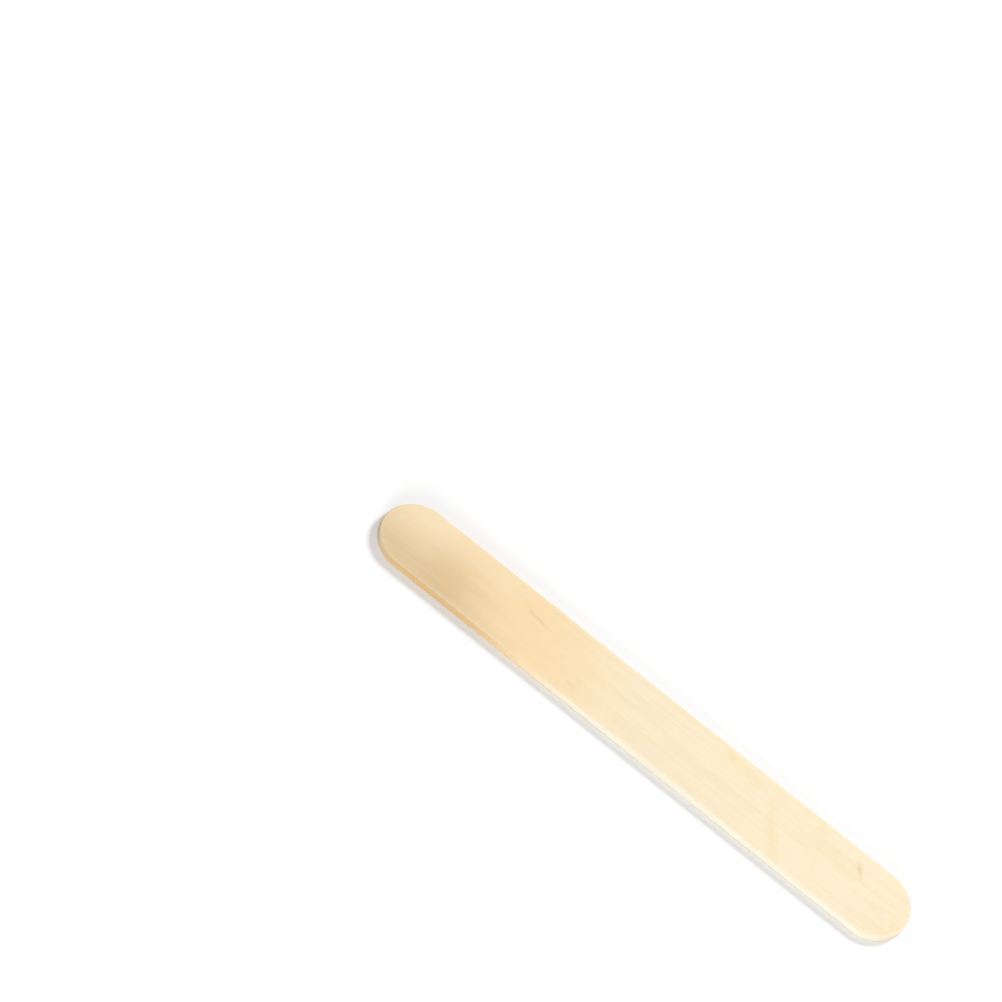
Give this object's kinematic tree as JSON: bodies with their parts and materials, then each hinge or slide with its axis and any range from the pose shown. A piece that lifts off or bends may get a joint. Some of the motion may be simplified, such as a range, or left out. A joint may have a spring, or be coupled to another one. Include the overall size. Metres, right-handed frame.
{
  "type": "tongue depressor",
  "caption": "Flat wooden tongue depressor: a thin birch veneer blade with parallel sides and half-round ends, for holding the tongue down in a throat examination.",
  "frame": {"origin": "middle of the lower face, halfway along the blade", "axes": "+X along the blade from tip to tip, +Y across it, +Z through its thickness, up from the face that it lies on"},
  "size_m": [0.15, 0.018, 0.002],
  "materials": {
    "birch": "bare, tumbled smooth, matt to satin"
  },
  "bodies": {
    "root": {"blade": "birch"}
  },
  "joints": []
}
